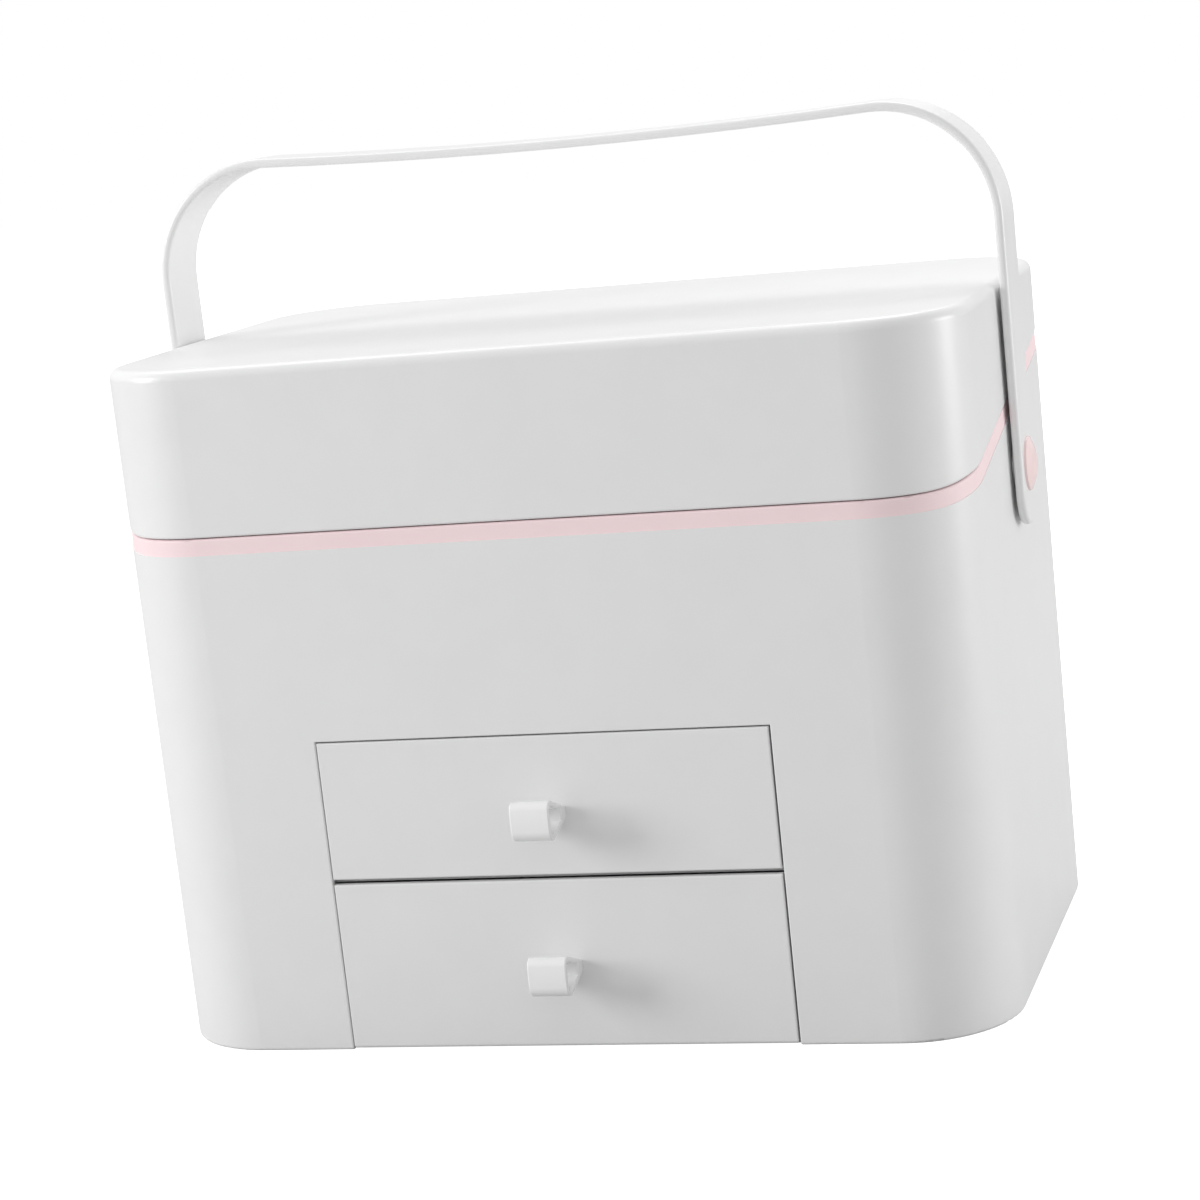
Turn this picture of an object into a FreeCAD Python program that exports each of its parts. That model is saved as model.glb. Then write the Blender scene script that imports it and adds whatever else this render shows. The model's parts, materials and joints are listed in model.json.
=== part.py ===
import FreeCAD, Part

import math
import os

# Makeup storage case: a rounded box with a deep hinged lid, a swinging carrying
# handle and two small drawers in the lower middle of its front.
#
# Millimetres. +Z is up, +X is to the right and -Y is the front. The origin is the
# middle of the case's footprint, on the surface that the case stands on.

# ---- driving dimensions -------------------------------------------------------

# case
CASE_WIDTH = 292.0
CASE_DEPTH = 200.0
CASE_HEIGHT = 233.0
CORNER_RADIUS = 35.0
WALL = 2.5
BOTTOM_EDGE_RADIUS = 1.2
TOP_EDGE_RADIUS = 3.5
MOUTH_EDGE_RADIUS = 0.5

# line where the body ends: level along the front, then rising towards the back
BODY_TOP_FRONT = 171.5
RISE_START_Y = -88.0
RISE_SLOPE = 0.193
RISE_BLEND = 6.0
RISE_END_Y = 69.5
TRIM_BAND = 5.55
TRIM_EDGE_RADIUS = 0.8
TRIM_OUTER_INSET = 0.3
TRIM_INNER_INSET = 5.2
TRIM_SKIRT_INSET = 4.4
TRIM_LIP_INSET = 3.4
TRIM_SKIRT_DEPTH = 6.0
TRIM_LIP_HEIGHT = 6.0
TRIM_LIP_REAR_Y = 48.0
TRIM_THIN_Y = 60.0
TRIM_OVERLAP = 0.5
TRIM_REAR_STEP = 1.0
LID_GAP = 0.4
LID_EDGE_RADIUS = 0.8
LID_RELIEF = ((71.0, 208.4), (80.0, 212.3), (101.0, 214.8))

# lid hinge: two pins under the lid's top, far enough forward for the lid's rear
# corners to stay inside the handle's arch while both swing
HINGE_Y = 70.0
HINGE_Z = 225.0
LID_REAR_RADIUS = 8.0
HINGE_PIN_RADIUS = 1.5
HINGE_X = 70.0
KNUCKLE_RADIUS = 4.5
KNUCKLE_WIDTH = 14.0
KNUCKLE_END_GAP = 0.5
LUG_RADIUS = 5.0
LUG_WIDTH = 7.0
RUNNING_CLEARANCE = 0.05
PAD_DEPTH = 3.0
BRACKET_WIDTH = 24.0
BRACKET_THICKNESS = 3.0
BRACKET_BOTTOM = 170.0
BRACKET_TOP = 192.0
BRACKET_SCREW_Z = 178.0
BRACKET_SCREW_SPREAD = 6.0
ARM_FRONT = 6.5
ARM_REAR = -0.8
ARM_FOOT = 5.0
DUST_LIP_GAP = 0.4
DUST_LIP_THICKNESS = 1.2
DUST_LIP_FRONT_Y = 73.0
DUST_LIP_BOTTOM = 208.0
DUST_LIP_BRIDGE = 215.2
DUST_LIP_TOP = 217.0
LINER_HALF_WIDTH = 118.0
LINER_FRONT_Y = -76.0
LINER_REAR_Y = 60.0
LINER_THICKNESS = 1.6
LINER_CORNER_RADIUS = 16.0
LINER_EDGE_RADIUS = 0.7

# base
BASE_BOTTOM = 1.0
BASE_THICKNESS = 2.5
BASE_RIM_WIDTH = 3.5
PAD_RADIUS = 8.0
PAD_THICKNESS = 2.0
PAD_EDGE_RADIUS = 0.5
PAD_X = 112.0
PAD_Y = 66.0
SEAT_GAP = 0.3
BASE_SCREW_X = 131.0
BASE_SCREW_Y = 85.5
SCREW_BOSS_RADIUS = 4.0
SCREW_BOSS_HEIGHT = 12.0
SCREW_RADIUS = 1.2
SCREW_HOLE_RADIUS = 1.25
SCREW_HEAD_RADIUS = 2.6
SCREW_HEAD_HEIGHT = 1.4
SCREW_RECESS_RADIUS = 0.9
SCREW_RECESS_DEPTH = 0.6
BASE_SCREW_LENGTH = 11.0
HINGE_SCREW_LENGTH = 6.5
PIVOT_SCREW_LENGTH = 9.0
PULL_SCREW_LENGTH = 8.0
FRONT_SCREW_LENGTH = 3.2

# drawers
MOUTH_HALF_WIDTH = 77.5
MOUTH_TOP = 107.1
FRONT_GAP_LEFT = 0.35
FRONT_GAP_RIGHT = 0.65
FRONT_THICKNESS = 2.3
FRONT_SKIN = 0.8
LOWER_FRONT_BOTTOM = 0.6
LOWER_FRONT_TOP = 57.9
UPPER_FRONT_BOTTOM = 59.7
UPPER_FRONT_TOP = 106.6
TRAY_HALF_WIDTH = 76.0
TRAY_WALL = 1.8
TRAY_REAR_Y = 90.0
TRAY_CORNER_RADIUS = 4.0
RUNNER_HEIGHT = 0.8
RUNNER_WIDTH = 4.0
RUNNER_X = 66.0
RUNNER_SETBACK = 6.0
WEB_OVERLAP = 0.5
SLIDE_GAP = 0.1
UPPER_TRAY_TOP = 100.8
LOWER_TRAY_TOP = 52.8
DRAWER_TRAVEL = 125.0
FRONT_SCREW_X = (-60.0, 60.0)
STOP_TAB_X = 40.0
STOP_TAB_WIDTH = 4.0
STOP_TAB_LENGTH = 3.5
STOP_SLOT_WIDTH = 6.0
STOP_TAB_DEPTH = 1.0
STOP_GROOVE_DEPTH = 1.4
STOP_END_GAP = 1.0

# drawer pulls: a flat strap folded to a wedge-shaped loop
PULL_WIDTH = 13.2
PULL_REACH = 18.0
PULL_TIP_HEIGHT = 15.6
PULL_TIP_RISE = 1.0
PULL_ROOT_HEIGHT = 4.0
PULL_STRAP = 1.7
PULL_BULGE = 1.0
PULL_UPPER_RADIUS = 2.8
PULL_LOWER_RADIUS = 4.2
PULL_SIDE_RADIUS = 0.5
PULL_ROOT_LENGTH = 5.0
PULL_PILOT_DEPTH = 4.2
UPPER_PULL_Z = 80.9
LOWER_PULL_Z = 28.6

# bay that holds the drawers, and the compartment above it
CHEEK_INNER_X = 78.5
CHEEK_THICKNESS = 2.0
SHELF_BOTTOM = 58.0
SHELF_THICKNESS = 2.0
SHELF_SETBACK = 1.6
BASE_SETBACK = 0.5
BAY_BACK_Y = 93.5
BAY_BACK_THICKNESS = 2.0
RAIL_OVERLAP = 3.0
RAIL_GAP = 0.7
RAIL_THICKNESS = 2.0
RAIL_SETBACK = 8.0
CHEEK_FOOT_Y = (-80.0, 50.0)
CHEEK_FOOT_LENGTH = 30.0
CHEEK_FOOT_WIDTH = 8.0
CHEEK_FOOT_THICKNESS = 2.0
DECK_BOTTOM = 108.5
DECK_THICKNESS = 2.0
DECK_RIM_TOP = 150.0
DIVIDER_THICKNESS = 1.8
DIVIDER_TOP = 146.0
WELL_DIVIDER_TOP = 138.0
WELL_DIVIDER_Y = 4.0
DIVIDER_EDGE_RADIUS = 0.8
DIVIDER_NOTCH_RADIUS = 14.0
DIVIDER_NOTCH_RISE = 4.0
GUIDE_Y = (8.0, 12.2)
GUIDE_THICKNESS = 1.2
GUIDE_DEPTH = 2.0
GUIDE_DROP = 4.0

# handle
PIVOT_Z = 170.5
STRAP_WIDTH = 25.0
STRAP_END_Z = 149.8
STRAP_THICKNESS = 3.2
STRAP_INNER_X = 147.3
GRIP_CORNER_RADIUS = 37.4
GRIP_CORNER_Z = 254.8
GRIP_MIDDLE_Z = 289.5
STRAP_EDGE_RADIUS = 1.4
HUB_RADIUS = 5.0
HUB_COLLAR_RADIUS = 8.0
HUB_SPIGOT_RADIUS = 4.0
PIVOT_BOSS_RADIUS = 9.0
PIVOT_BOSS_LENGTH = 6.0
HUB_END_PLAY = 0.2
WASHER_RADIUS = 7.5
WASHER_THICKNESS = 1.2
CAP_RADIUS = 9.2
CAP_HEIGHT = 3.0
CAP_RIM_HEIGHT = 0.8
CAP_RECESS_DEPTH = 0.6

# ---- worked-out dimensions ----------------------------------------------------

HALF_WIDTH = CASE_WIDTH / 2
HALF_DEPTH = CASE_DEPTH / 2
FRONT_Y = -HALF_DEPTH
REAR_Y = HALF_DEPTH
INNER_REAR_Y = REAR_Y - WALL
INNER_FRONT_Y = FRONT_Y + WALL
BASE_TOP = BASE_BOTTOM + BASE_THICKNESS
SHELF_TOP = SHELF_BOTTOM + SHELF_THICKNESS
DECK_TOP = DECK_BOTTOM + DECK_THICKNESS
CHEEK_OUTER_X = CHEEK_INNER_X + CHEEK_THICKNESS
FRONT_LEFT_X = FRONT_GAP_LEFT - MOUTH_HALF_WIDTH
FRONT_RIGHT_X = MOUTH_HALF_WIDTH - FRONT_GAP_RIGHT
SHELF_FRONT_Y = INNER_FRONT_Y + SHELF_SETBACK
BASE_FRONT_Y = INNER_FRONT_Y + BASE_SETBACK
STRAP_OUTER_X = STRAP_INNER_X + STRAP_THICKNESS
JOURNAL_END_X = HALF_WIDTH - WALL - PIVOT_BOSS_LENGTH - HUB_END_PLAY
LID_BOTTOM_OFFSET = TRIM_BAND + LID_GAP
FAR = 400.0

X_AXIS = FreeCAD.Vector(1, 0, 0)
Y_AXIS = FreeCAD.Vector(0, 1, 0)
Z_AXIS = FreeCAD.Vector(0, 0, 1)


# ---- shape helpers ------------------------------------------------------------


def point(x, y, z):
    """A point or direction in space."""
    return FreeCAD.Vector(x, y, z)


def block(x0, x1, y0, y1, z0, z1):
    """A box between two corners."""
    return Part.makeBox(x1 - x0, y1 - y0, z1 - z0, point(x0, y0, z0))


def rod(radius, start, end):
    """A round bar from start to end."""
    along = end.sub(start)
    return Part.makeCylinder(radius, along.Length, start, along)


def joined(shapes):
    """The union of touching shapes, with the seams between them removed."""
    whole = shapes[0]
    for shape in shapes[1:]:
        whole = whole.fuse(shape)
    return whole.removeSplitter()


def mirrored_pair(shape):
    """A shape and its mirror image in the case's middle plane, as two solids."""
    return Part.makeCompound([shape, shape.mirror(point(0, 0, 0), X_AXIS)])


def left_of(shape):
    """The mirror image of a right-hand shape."""
    return shape.mirror(point(0, 0, 0), X_AXIS)


def footprint(inset, bottom, top):
    """An upright prism on the case's rounded outline, moved in by inset."""
    half_x = HALF_WIDTH - inset
    half_y = HALF_DEPTH - inset
    radius = CORNER_RADIUS - inset
    prism = block(-half_x, half_x, -half_y, half_y, bottom, top)
    uprights = [e for e in prism.Edges if abs(e.tangentAt(e.FirstParameter).z) > 0.99]
    return prism.makeFillet(radius, uprights)


def profile_prism(corners):
    """A prism right across the case on a side view given as Y and Z corners."""
    points = [point(-FAR, y, z) for y, z in corners]
    return Part.Face(Part.makePolygon(points + [points[0]])).extrude(point(2 * FAR, 0, 0))


def above_parting(offset):
    """Everything above the parting line, which is offset upwards from the body's top.

    The line is level along the front, rises towards the back, and is level again
    behind the lid's hinge, where the lid's rear swings down inside the body.
    """
    level = BODY_TOP_FRONT + offset
    blend_z = level + RISE_BLEND * RISE_SLOPE
    blend_quarter = level + RISE_BLEND * RISE_SLOPE / 4
    top = level + RISE_SLOPE * (RISE_END_Y - RISE_START_Y)
    start = point(-FAR, -FAR, level)
    blend_start = point(-FAR, RISE_START_Y - RISE_BLEND, level)
    blend_middle = point(-FAR, RISE_START_Y, blend_quarter)
    blend_end = point(-FAR, RISE_START_Y + RISE_BLEND, blend_z)
    rise_end = point(-FAR, RISE_END_Y, top)
    edges = [
        Part.LineSegment(start, blend_start).toShape(),
        Part.Arc(blend_start, blend_middle, blend_end).toShape(),
        Part.LineSegment(blend_end, rise_end).toShape(),
        Part.LineSegment(rise_end, point(-FAR, FAR, top)).toShape(),
        Part.LineSegment(point(-FAR, FAR, top), point(-FAR, FAR, FAR)).toShape(),
        Part.LineSegment(point(-FAR, FAR, FAR), point(-FAR, -FAR, FAR)).toShape(),
        Part.LineSegment(point(-FAR, -FAR, FAR), start).toShape(),
    ]
    return Part.Face(Part.Wire(edges)).extrude(point(2 * FAR, 0, 0))


def between_partings(low, high):
    """The layer between two offsets of the parting line."""
    return above_parting(low).cut(above_parting(high))


def edges_where(shape, test):
    """The edges whose middle point passes a test."""
    found = []
    for edge in shape.Edges:
        middle = edge.valueAt((edge.FirstParameter + edge.LastParameter) / 2)
        if test(middle):
            found.append(edge)
    return found


def export(shape, node):
    """Writes one sub-part."""
    shape.exportStep("parts/" + node + ".step")


# ---- body ---------------------------------------------------------------------


def hinge_pad():
    """The thick place inside the rear wall that one hinge bracket is screwed to."""
    half = BRACKET_WIDTH / 2
    front = INNER_REAR_Y - PAD_DEPTH
    return block(HINGE_X - half, HINGE_X + half, front, INNER_REAR_Y + 1, BRACKET_BOTTOM, BRACKET_TOP)


def bracket_screw_places():
    """The two screws of the right-hand hinge bracket, by X and Z."""
    return [(HINGE_X + side * BRACKET_SCREW_SPREAD, BRACKET_SCREW_Z) for side in (-1, 1)]


def base_screw_places():
    """The four screws of the base plate, by X and Y."""
    return [(sx * BASE_SCREW_X, sy * BASE_SCREW_Y) for sx in (-1, 1) for sy in (-1, 1)]


def body_shell():
    """The outer shell: upright walls, a mouth for the drawers and its screw bosses."""
    outer = footprint(0, 0, CASE_HEIGHT)
    outer = outer.makeFillet(BOTTOM_EDGE_RADIUS, edges_where(outer, lambda p: p.z < 0.01))
    shell = outer.cut(footprint(WALL, -1, CASE_HEIGHT + 1))
    shell = shell.cut(above_parting(0))
    mouth = block(
        -MOUTH_HALF_WIDTH, MOUTH_HALF_WIDTH, FRONT_Y - 1, INNER_FRONT_Y + 1, -1, MOUTH_TOP
    )
    shell = shell.cut(mouth)
    rim = edges_where(
        shell,
        lambda p: abs(p.y - FRONT_Y) < 0.01
        and (abs(abs(p.x) - MOUTH_HALF_WIDTH) < 0.01 or abs(p.z - MOUTH_TOP) < 0.01)
        and p.z > BOTTOM_EDGE_RADIUS,
    )
    shell = shell.makeFillet(MOUTH_EDGE_RADIUS, rim)
    pieces = [shell]
    room = footprint(WALL / 2, -1, CASE_HEIGHT)
    for x, y in base_screw_places():
        boss = rod(SCREW_BOSS_RADIUS, point(x, y, BASE_TOP), point(x, y, BASE_TOP + SCREW_BOSS_HEIGHT))
        pieces.append(boss.common(room))
    for side in (-1, 1):
        inner_end = point(side * (HALF_WIDTH - WALL - PIVOT_BOSS_LENGTH), 0, PIVOT_Z)
        outer_end = point(side * (HALF_WIDTH - WALL / 2), 0, PIVOT_Z)
        pieces.append(rod(PIVOT_BOSS_RADIUS, inner_end, outer_end))
    pieces += [hinge_pad(), left_of(hinge_pad())]
    shell = joined(pieces)
    holes = []
    for x, y in base_screw_places():
        top = BASE_TOP + SCREW_BOSS_HEIGHT - 1
        holes.append(rod(SCREW_HOLE_RADIUS, point(x, y, 0), point(x, y, top)))
    for side in (-1, 1):
        for x, z in bracket_screw_places():
            start = point(side * x, INNER_REAR_Y - 4, z)
            holes.append(rod(SCREW_HOLE_RADIUS, start, point(side * x, INNER_REAR_Y + 1, z)))
    holes.append(rod(HUB_RADIUS + RUNNING_CLEARANCE, point(-FAR, 0, PIVOT_Z), point(FAR, 0, PIVOT_Z)))
    return shell.cut(Part.makeCompound(holes))


def base_plate():
    """The plate that closes the bottom: it stands on a rim and has seats for the pads."""
    plate = footprint(WALL, 0, BASE_TOP)
    cuts = [footprint(WALL + BASE_RIM_WIDTH, -1, BASE_BOTTOM)]
    cuts.append(block(-CHEEK_INNER_X, CHEEK_INNER_X, FRONT_Y, BASE_FRONT_Y, -1, BASE_TOP + 1))
    for x, y in pad_places():
        cuts.append(rod(PAD_RADIUS + SEAT_GAP, point(x, y, 0), point(x, y, PAD_THICKNESS)))
    for x, y in base_screw_places():
        head_top = BASE_BOTTOM + SCREW_HEAD_HEIGHT
        cuts.append(rod(SCREW_HOLE_RADIUS, point(x, y, -1), point(x, y, BASE_TOP + 1)))
        cuts.append(rod(SCREW_HEAD_RADIUS + SEAT_GAP, point(x, y, -1), point(x, y, head_top)))
    cuts += stop_slots(BASE_TOP - STOP_GROOVE_DEPTH, BASE_TOP + 1)
    return plate.cut(Part.makeCompound(cuts))


def pad_places():
    """The four rubber pads, by X and Y."""
    return [(sx * PAD_X, sy * PAD_Y) for sx in (-1, 1) for sy in (-1, 1)]


def foot_pads():
    """Four rubber pads, each a disc with a rounded lower edge."""
    pads = []
    for x, y in pad_places():
        pad = rod(PAD_RADIUS, point(x, y, 0), point(x, y, PAD_THICKNESS))
        pads.append(pad.makeFillet(PAD_EDGE_RADIUS, edges_where(pad, lambda p: p.z < 0.01)))
    return Part.makeCompound(pads)


def base_screws():
    """Four countersunk tapping screws that hold the base plate."""
    screws = []
    for x, y in base_screw_places():
        screws.append(screw(point(x, y, BASE_BOTTOM + SCREW_HEAD_HEIGHT), Z_AXIS, BASE_SCREW_LENGTH))
    return Part.makeCompound(screws)


def screw(seat, along, length):
    """A pan-head screw: its head ends at seat, and its shank runs on along a direction."""
    back = point(-along.x, -along.y, -along.z).multiply(SCREW_HEAD_HEIGHT)
    start = seat.add(back)
    head = Part.makeCylinder(SCREW_HEAD_RADIUS, SCREW_HEAD_HEIGHT, start, along)
    slot = Part.makeCylinder(SCREW_RECESS_RADIUS, SCREW_RECESS_DEPTH, start, along)
    shank = Part.makeCylinder(SCREW_RADIUS, length + SCREW_HEAD_HEIGHT, start, along)
    return head.fuse(shank).removeSplitter().cut(slot)


def stop_slots(bottom, top):
    """Cutters for the two grooves that the stop tabs of a drawer run in."""
    half = STOP_SLOT_WIDTH / 2
    slots = []
    for side in (-1, 1):
        x = side * STOP_TAB_X
        front = TRAY_REAR_Y - STOP_TAB_LENGTH - DRAWER_TRAVEL - STOP_END_GAP
        slots.append(block(x - half, x + half, front, TRAY_REAR_Y + 1, bottom, top))
    return slots


# ---- drawer bay and upper compartment -----------------------------------------


def bay_cheek_right():
    """One side of the drawer bay, with hold-down rails over both drawers."""
    rail_inner = TRAY_HALF_WIDTH - RAIL_OVERLAP
    rail_front = INNER_FRONT_Y + RAIL_SETBACK
    bay_rear = BAY_BACK_Y + BAY_BACK_THICKNESS
    panel = block(CHEEK_INNER_X, CHEEK_OUTER_X, INNER_FRONT_Y, bay_rear, BASE_TOP, DECK_BOTTOM)
    rails = []
    for tray_top in (LOWER_TRAY_TOP, UPPER_TRAY_TOP):
        low = tray_top + RAIL_GAP
        high = low + RAIL_THICKNESS
        rails.append(block(rail_inner, CHEEK_INNER_X + 1, rail_front, BAY_BACK_Y, low, high))
    feet = []
    for y in CHEEK_FOOT_Y:
        foot_x = CHEEK_OUTER_X + CHEEK_FOOT_WIDTH
        foot_top = BASE_TOP + CHEEK_FOOT_THICKNESS
        feet.append(block(CHEEK_OUTER_X - 1, foot_x, y, y + CHEEK_FOOT_LENGTH, BASE_TOP, foot_top))
    return joined([panel] + feet + rails)


def middle_shelf():
    """The shelf between the drawers, with the grooves of the upper drawer's stop tabs."""
    shelf = block(
        -CHEEK_INNER_X, CHEEK_INNER_X, SHELF_FRONT_Y, BAY_BACK_Y, SHELF_BOTTOM, SHELF_TOP
    )
    return shelf.cut(Part.makeCompound(stop_slots(SHELF_BOTTOM - 1, SHELF_TOP + 1)))


def bay_back_panel():
    """The panel that closes the drawer bay at the back."""
    rear = BAY_BACK_Y + BAY_BACK_THICKNESS
    return block(-CHEEK_INNER_X, CHEEK_INNER_X, BAY_BACK_Y, rear, BASE_TOP, DECK_BOTTOM)


def upper_deck():
    """The floor of the middle compartment, over the drawers, with a rim to each side."""
    floor = block(-CHEEK_OUTER_X, CHEEK_OUTER_X, INNER_FRONT_Y, INNER_REAR_Y, DECK_BOTTOM, DECK_TOP)
    pieces = [floor]
    for side in (-1, 1):
        inner = side * CHEEK_INNER_X
        outer = side * CHEEK_OUTER_X
        low, high = min(inner, outer), max(inner, outer)
        rim = block(low, high, INNER_FRONT_Y, INNER_REAR_Y, DECK_BOTTOM, DECK_RIM_TOP)
        pieces.append(rim)
        guide_inner = side * (CHEEK_INNER_X - GUIDE_DEPTH)
        low, high = min(guide_inner, outer), max(guide_inner, outer)
        half = GUIDE_THICKNESS / 2
        for y in GUIDE_Y:
            pieces.append(block(low, high, y - half, y + half, DECK_BOTTOM, DECK_RIM_TOP - GUIDE_DROP))
    return joined(pieces)


def deck_divider():
    """A lift-out divider across the middle compartment, between its guide ribs."""
    half = CHEEK_INNER_X - SEAT_GAP
    y0 = (GUIDE_Y[0] + GUIDE_Y[1] - DIVIDER_THICKNESS) / 2
    y1 = y0 + DIVIDER_THICKNESS
    panel = block(-half, half, y0, y1, DECK_TOP, DIVIDER_TOP)
    notch_z = DIVIDER_TOP + DIVIDER_NOTCH_RISE
    notch = rod(DIVIDER_NOTCH_RADIUS, point(0, y0 - 1, notch_z), point(0, y1 + 1, notch_z))
    return panel.cut(notch)


def well_dividers():
    """One divider across each of the deep wells beside the drawers."""
    low = CHEEK_OUTER_X + SEAT_GAP
    high = HALF_WIDTH - WALL - SEAT_GAP
    rear_y = WELL_DIVIDER_Y + DIVIDER_THICKNESS
    panel = block(low, high, WELL_DIVIDER_Y, rear_y, BASE_TOP, WELL_DIVIDER_TOP)
    corners = edges_where(
        panel,
        lambda p: p.z > WELL_DIVIDER_TOP - 0.01 and WELL_DIVIDER_Y + 0.1 < p.y < rear_y - 0.1,
    )
    return mirrored_pair(panel.makeFillet(DIVIDER_EDGE_RADIUS, corners))


def trim_layer(outer_inset, inner_inset, low, high):
    """A ring on the case's outline, between two insets and two offsets of the parting."""
    ring = footprint(outer_inset, 0, CASE_HEIGHT).cut(footprint(inner_inset, -1, CASE_HEIGHT + 1))
    return ring.common(between_partings(low, high))


def rim_edges(shape, inset, region):
    """The edges of a shape along its outer side that lie in a region."""
    core = footprint(inset + SEAT_GAP / 2, 0, CASE_HEIGHT + 1)
    found = []
    for edge in edges_where(shape, lambda p: not core.isInside(p, 0.001, True)):
        half_way = (edge.FirstParameter + edge.LastParameter) / 2
        upright = abs(edge.tangentAt(half_way).z) > 0.99
        if not upright and region.isInside(edge.valueAt(half_way), 0.001, True):
            found.append(edge)
    return found


def trim_ring():
    """The soft ring round the body's mouth: a visible band, a skirt and a locating lip.

    Behind the hinge the band stands only on the wall, clear of the lid's swing.
    """
    front = block(-FAR, FAR, -FAR, TRIM_THIN_Y, 0, FAR)
    lip_room = block(-FAR, FAR, -FAR, TRIM_LIP_REAR_Y, 0, FAR)
    band = trim_layer(TRIM_OUTER_INSET, WALL, 0, TRIM_BAND)
    upper_edges = rim_edges(band, TRIM_OUTER_INSET, above_parting(TRIM_BAND / 2))
    band = band.makeFillet(TRIM_EDGE_RADIUS, upper_edges)
    inner_band = trim_layer(WALL, TRIM_INNER_INSET, 0, TRIM_BAND).common(front)
    step = trim_layer(WALL, TRIM_SKIRT_INSET, 0, TRIM_REAR_STEP)
    skirt = trim_layer(WALL + SLIDE_GAP, TRIM_SKIRT_INSET, -TRIM_SKIRT_DEPTH, TRIM_OVERLAP)
    lip_bottom = TRIM_BAND - TRIM_OVERLAP
    lip = trim_layer(TRIM_LIP_INSET, TRIM_INNER_INSET, lip_bottom, TRIM_BAND + TRIM_LIP_HEIGHT)
    return joined([band, inner_band, step, skirt, lip.common(lip_room)])


# ---- lid and hinge ------------------------------------------------------------


def rear_round(radius):
    """The space outside a round along the lid's top rear edge."""
    middle_y = REAR_Y - LID_REAR_RADIUS
    middle_z = CASE_HEIGHT - LID_REAR_RADIUS
    corner = block(-FAR, FAR, middle_y, FAR, middle_z, FAR)
    start = point(-FAR - 1, middle_y, middle_z)
    return corner.cut(rod(radius, start, point(FAR + 1, middle_y, middle_z)))


def hinge_rod(radius, x0, x1):
    """A round bar on the hinge's axis."""
    return rod(radius, point(x0, HINGE_Y, HINGE_Z), point(x1, HINGE_Y, HINGE_Z))


def dust_lip():
    """A lip inside the lid's rear wall that closes the gap over the trim ring."""
    outer = WALL + DUST_LIP_GAP
    inner = outer + DUST_LIP_THICKNESS
    lip = footprint(outer, DUST_LIP_BOTTOM, DUST_LIP_TOP)
    bridge = footprint(WALL - DUST_LIP_GAP, DUST_LIP_BRIDGE, DUST_LIP_TOP)
    lip = lip.fuse(bridge).cut(footprint(inner, -1, CASE_HEIGHT))
    return lip.common(block(-FAR, FAR, DUST_LIP_FRONT_Y, FAR, 0, FAR))


def lid_shell():
    """The lid: a deep cover with a round rear edge, two rear notches and its hinge lugs."""
    outer = footprint(0, 0, CASE_HEIGHT)
    outer = outer.makeFillet(
        TOP_EDGE_RADIUS, edges_where(outer, lambda p: p.z > CASE_HEIGHT - 0.01)
    )
    outer = outer.cut(rear_round(LID_REAR_RADIUS))
    inner = footprint(WALL, -1, CASE_HEIGHT - WALL).cut(rear_round(LID_REAR_RADIUS - WALL))
    relief_start = LID_RELIEF[0][0]
    relief = list(LID_RELIEF) + [(FAR, LID_RELIEF[-1][1]), (FAR, 0), (relief_start, 0)]
    shell = outer.cut(inner).common(above_parting(LID_BOTTOM_OFFSET))
    below_top = block(-FAR, FAR, -FAR, FAR, 0, CASE_HEIGHT - 2 * LID_REAR_RADIUS)
    shell = shell.makeFillet(LID_EDGE_RADIUS, rim_edges(shell, 0, below_top))
    shell = joined([shell.cut(profile_prism(relief)), dust_lip()])
    half = KNUCKLE_WIDTH / 2 + KNUCKLE_END_GAP
    skin_bottom = CASE_HEIGHT - WALL
    notch = block(
        HINGE_X - half, HINGE_X + half, INNER_REAR_Y - WALL, REAR_Y + 1, BODY_TOP_FRONT, skin_bottom
    )
    shell = shell.cut(Part.makeCompound([notch, left_of(notch)]))
    lugs = []
    for start in (HINGE_X - half - LUG_WIDTH, HINGE_X + half):
        end = start + LUG_WIDTH
        front_y = HINGE_Y - LUG_RADIUS
        rear_y = HINGE_Y + LUG_RADIUS
        lugs.append(hinge_rod(LUG_RADIUS, start, end))
        lugs.append(block(start, end, front_y, rear_y, HINGE_Z, skin_bottom + WALL / 2))
    lugs += [left_of(lug) for lug in lugs]
    shell = joined([shell] + lugs)
    reach = half + LUG_WIDTH + 1
    bore = hinge_rod(HINGE_PIN_RADIUS + RUNNING_CLEARANCE, HINGE_X - reach, HINGE_X + reach)
    return shell.cut(Part.makeCompound([bore, left_of(bore)]))


def lid_liner():
    """A flat panel that lines the top of the lid in front of its hinge."""
    top = CASE_HEIGHT - WALL
    bottom = top - LINER_THICKNESS
    panel = block(-LINER_HALF_WIDTH, LINER_HALF_WIDTH, LINER_FRONT_Y, LINER_REAR_Y, bottom, top)
    uprights = [e for e in panel.Edges if abs(e.tangentAt(e.FirstParameter).z) > 0.99]
    panel = panel.makeFillet(LINER_CORNER_RADIUS, uprights)
    edge = edges_where(panel, lambda p: p.z < bottom + 0.01)
    return panel.makeFillet(LINER_EDGE_RADIUS, edge)


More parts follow.
